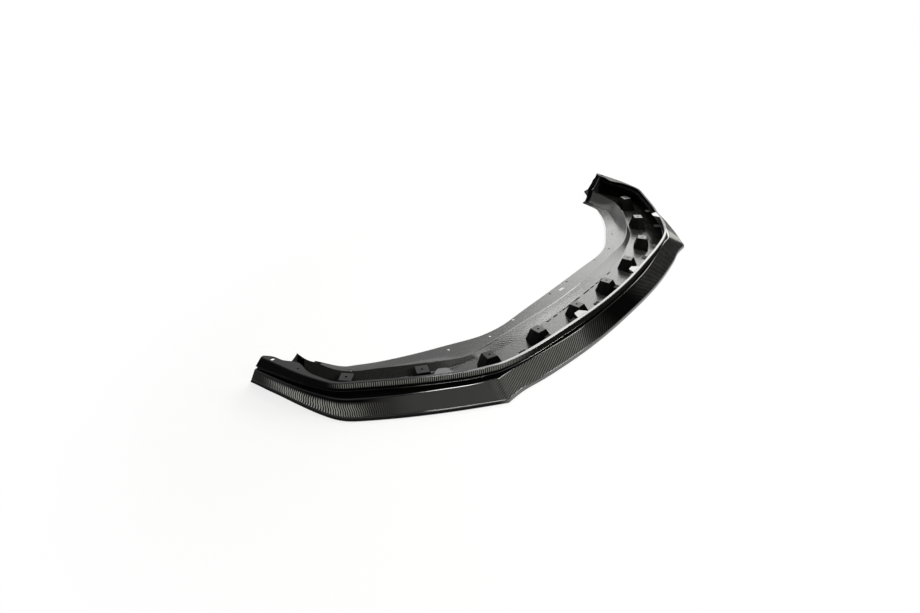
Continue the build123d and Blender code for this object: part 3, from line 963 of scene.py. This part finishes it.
def plain_gloss(name, tone, weight, index):
    """Lacquered black laminate without visible cloth, a little uneven."""
    finish, tree, shader = new_finish(name)
    colour = blend_colour(tree, noise(tree, FLOW_SCALE), *shades(tone, FLOW_SPREAD))
    tree.links.new(colour, shader.inputs["Base Color"])
    clear_coat(shader, weight, index)
    return finish


def thinned_gloss(name, tone, index, nose, corner, wing):
    """Lacquered black laminate whose coat differs on the nose, past the corner and on the wing."""
    finish = plain_gloss(name, tone, nose, index)
    tree = finish.node_tree
    along, _ = cloth_place(tree)
    weight = calc(tree, "MULTIPLY_ADD", between(tree, along, *COAT_PAST_CORNER), corner - nose, nose)
    weight = calc(tree, "MULTIPLY_ADD", between(tree, along, *COAT_ON_WING), wing - corner, weight)
    tree.links.new(weight, tree.nodes["Principled BSDF"].inputs["Coat Weight"])
    return finish


def moulded_black(name, tone, roughness, gloss):
    """Moulded black plastic with a fine grain."""
    finish, tree, shader = new_finish(name)
    grain = noise(tree, MOULDED_GRAIN)
    colour = blend_colour(tree, grain, *shades(tone, MOULDED_SPREAD))
    tree.links.new(colour, shader.inputs["Base Color"])
    shader.inputs["Roughness"].default_value = roughness
    shader.inputs["Specular IOR Level"].default_value = gloss
    bumped(tree, shader, grain, MOULDED_BUMP)
    return finish


def painted_shade_line(tree, x, y):
    """Gives the bowed, broken line of painted shade along the ramp's foot in the tray's floor."""
    bow = product(tree, x, x, SHADE_LINE_BOW)
    off = calc(tree, "ABSOLUTE", calc(tree, "SUBTRACT", calc(tree, "SUBTRACT", y, SHADE_LINE_Y), bow))
    return product(tree, between(tree, off, *SHADE_LINE_HALF_WIDTH),
                   between(tree, calc(tree, "ABSOLUTE", x), *SHADE_LINE_END),
                   between(tree, noise(tree, SHADE_LINE_GAP_SCALE), *SHADE_LINE_GAPS))


def satin_carbon():
    """Satin laminate: fine cloth that shows on level faces under thin resin, steep faces painted paler as
    painted light, and a mottled surface.
    """
    finish, tree, shader = new_finish("satin_carbon")
    x, y, z = parts_of(tree, object_place(tree))
    over, crown = twill(tree, calc(tree, "DIVIDE", x, TRAY_TOW), calc(tree, "DIVIDE", y, TRAY_TOW))
    facing = tree.nodes.new("ShaderNodeNewGeometry")
    level = between(tree, parts_of(tree, facing.outputs["Normal"])[2], *LEVEL_SHARE)
    raised = between(tree, z, *FLANGE_HEIGHT)
    grain = noise(tree, SATIN_GRAIN, SATIN_DETAIL)
    shade_line = painted_shade_line(tree, x, y)
    floor_cloth, flange_cloth = [blend_colour(tree, over, *tows) for tows in (FLOOR_TOWS, FLANGE_TOWS)]
    cloth = blend_colour(tree, raised, floor_cloth, flange_cloth)
    # Painted light: steep faces take a paler colour than the level cloth, lifting the walls' shade
    colour = blend_colour(tree, level, STEEP_PAINTED_LIGHT, cloth)
    colour = blend_colour(tree, grain, SPECKLE, colour)
    colour = blend_colour(tree, product(tree, noise(tree, MOTTLE_SCALE), MOTTLE_SHARE), colour, MOTTLE)
    # Painted shade: a dark line along the inner corner at the ramp's foot
    colour = blend_colour(tree, shade_line, colour, DEEP_BLACK)
    tree.links.new(colour, shader.inputs["Base Color"])
    rough = calc(tree, "MULTIPLY_ADD", raised, FLANGE_ROUGH, FLOOR_ROUGH)
    tree.links.new(calc(tree, "MULTIPLY_ADD", shade_line, SHADE_LINE_ROUGH, rough), shader.inputs["Roughness"])
    bumped(tree, shader, calc(tree, "ADD", product(tree, crown, level), grain), SATIN_BUMP)
    return finish


def studio_paper():
    """Pale paper that is seen as white, and darkens a little in the lip's shadow."""
    paper, tree, shader = new_finish("pale_paper")
    shader.inputs["Base Color"].default_value = (PAPER_TONE, PAPER_TONE, PAPER_TONE, 1)
    shader.inputs["Roughness"].default_value = PAPER_ROUGH
    shader.inputs["Specular IOR Level"].default_value = 0.0
    oval = tree.nodes.new("ShaderNodeMapping")
    oval.inputs["Scale"].default_value = (SHADOW_NARROWING, 1, 1)
    tree.links.new(object_place(tree), oval.inputs["Vector"])
    reach = tree.nodes.new("ShaderNodeVectorMath")
    reach.operation = "LENGTH"
    tree.links.new(oval.outputs["Vector"], reach.inputs[0])
    away = between(tree, reach.outputs["Value"], *SHADOW_FADE)
    white_share = calc(tree, "MULTIPLY_ADD", away, SHADOW_SHARE, 1 - SHADOW_SHARE)
    path = tree.nodes.new("ShaderNodeLightPath")
    seen = calc(tree, "MAXIMUM", path.outputs["Is Camera Ray"], path.outputs["Is Glossy Ray"])
    seen = calc(tree, "MAXIMUM", seen, path.outputs["Is Transmission Ray"])
    white = tree.nodes.new("ShaderNodeEmission")
    mix = tree.nodes.new("ShaderNodeMixShader")
    tree.links.new(product(tree, seen, white_share), mix.inputs[0])
    tree.links.new(shader.outputs[0], mix.inputs[1])
    tree.links.new(white.outputs[0], mix.inputs[2])
    tree.links.new(mix.outputs[0], tree.nodes["Material Output"].inputs["Surface"])
    return paper


def studio_floor():
    """Models the round floor that turns up into a wall."""
    bm = bmesh.new()
    bmesh.ops.create_circle(bm, cap_ends=True, segments=STUDIO_SIDES, radius=STUDIO_RADIUS)
    bmesh.ops.translate(bm, verts=bm.verts[:], vec=(0, 0, FLOOR_LEVEL))
    wall = bmesh.ops.extrude_edge_only(bm, edges=bm.edges[:])["geom"]
    bmesh.ops.translate(bm, verts=only(BMVert, wall), vec=(0, 0, STUDIO_WALL))
    return piece_from(bm, "studio_floor", studio_paper())


def turned_to(target, place):
    """Gives the turn that faces a lamp or a camera at a place to a target."""
    return (Vector(target) - Vector(place)).to_track_quat("-Z", "Y").to_euler()


def studio_light():
    """Sets the even light of the sky and the lamps."""
    scene = bpy.context.scene
    scene.world = bpy.data.worlds.new("studio")
    scene.world.use_nodes = True
    sky = scene.world.node_tree.nodes["Background"]
    sky.inputs["Color"].default_value = (1, 1, 1, 1)
    sky.inputs["Strength"].default_value = SKY_STRENGTH
    for name, place, target, width, depth, power, blue in LAMPS:
        lamp = bpy.data.lights.new(name, "AREA")
        lamp.shape = "RECTANGLE"
        lamp.size = width
        lamp.size_y = depth
        lamp.energy = power
        lamp.color = (1, 1, blue)
        rig = bpy.data.objects.new(name, lamp)
        rig.location = place
        rig.rotation_euler = turned_to(target, place)
        scene.collection.objects.link(rig)


def photo_view():
    """Sets the camera and how the picture shows its colours."""
    scene = bpy.context.scene
    scene.view_settings.view_transform = "Standard"
    lens = bpy.data.cameras.new("photo_view")
    lens.sensor_width = SENSOR_WIDTH
    lens.lens = SENSOR_WIDTH * FOCAL_PIXELS / PICTURE_PIXELS
    lens.clip_end = CLIP_END
    view = bpy.data.objects.new("photo_view", lens)
    view.location = EYE
    view.rotation_euler = turned_to(EYE_TARGET, EYE)
    scene.collection.objects.link(view)
    scene.camera = view


blade_cloth = blade_carbon()
strip_cloth = strip_carbon()
gloss_black = plain_gloss("gloss_black", tone=0.002, weight=0.06, index=1.5)
flange_gloss = thinned_gloss("flange_gloss", tone=0.008, index=2.2, nose=1.0, corner=0.5, wing=0.25)
edge_bead = thinned_gloss("edge_bead", tone=0.004, index=2.2, nose=1.0, corner=0.8, wing=0.2)
rim_bead = thinned_gloss("rim_bead", tone=0.004, index=2.2, nose=0.6, corner=1.0, wing=0.2)
rim_gloss = thinned_gloss("rim_gloss", tone=0.003, index=2.1, nose=1.0, corner=0.06, wing=0.06)
crease_gloss = plain_gloss("crease_gloss", tone=0.02, weight=1.0, index=1.6)
satin = satin_carbon()
moulded = moulded_black("tower_black", tone=0.002, roughness=0.5, gloss=0.06)
plate = moulded_black("tower_plate", tone=0.008, roughness=0.22, gloss=0.27)

skin = lip_skin([blade_cloth, strip_cloth, gloss_black, flange_gloss, edge_bead, rim_gloss, rim_bead])
smooth_shaded(cut_out(skin, wing_drills()))
tabs = smooth_shaded(clip_tabs(moulded, flange_gloss))
panel = cut_out(tray_panel(satin, gloss_black, crease_gloss), tower_hollows())
smooth_shaded(cut_out(panel, flange_drills()))
webs = smooth_shaded(end_webs(satin))
mounts = smooth_shaded(towers(moulded, plate))

for piece, finish_slot in ((skin, "gloss_carbon"), (tabs, "gloss_carbon"), (panel, "satin_carbon"),
                           (webs, "satin_carbon"), (mounts, "satin_carbon")):
    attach(piece, "root")
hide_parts("outer_lip")
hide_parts("inner_tray")

studio_floor()
studio_light()
photo_view()
